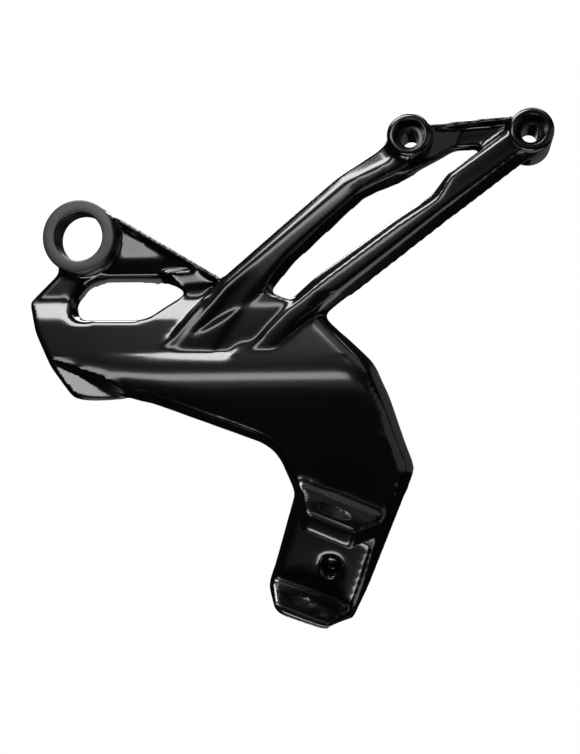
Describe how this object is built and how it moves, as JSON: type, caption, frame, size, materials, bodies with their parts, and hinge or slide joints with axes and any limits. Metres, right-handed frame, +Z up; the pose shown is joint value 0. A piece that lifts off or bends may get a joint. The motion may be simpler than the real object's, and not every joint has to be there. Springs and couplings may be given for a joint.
{
  "type": "motorcycle footrest hanger",
  "caption": "Black cast hanger for a motorcycle footrest: bored ring, webbed body, arms up to bolt bosses, and a leg ending in a fork for a folding footrest.",
  "frame": {"origin": "middle of the ring's bore, half way between the ring's faces", "axes": "+X from the ring towards the bosses, +Z up, -Y outboard (the side that shows on the motorcycle); the ring's bore runs along Y"},
  "size_m": [0.2655, 0.0627, 0.2498],
  "materials": {
    "hanger": "satin"
  },
  "bodies": {
    "root": {"hanger": "hanger"}
  },
  "joints": []
}
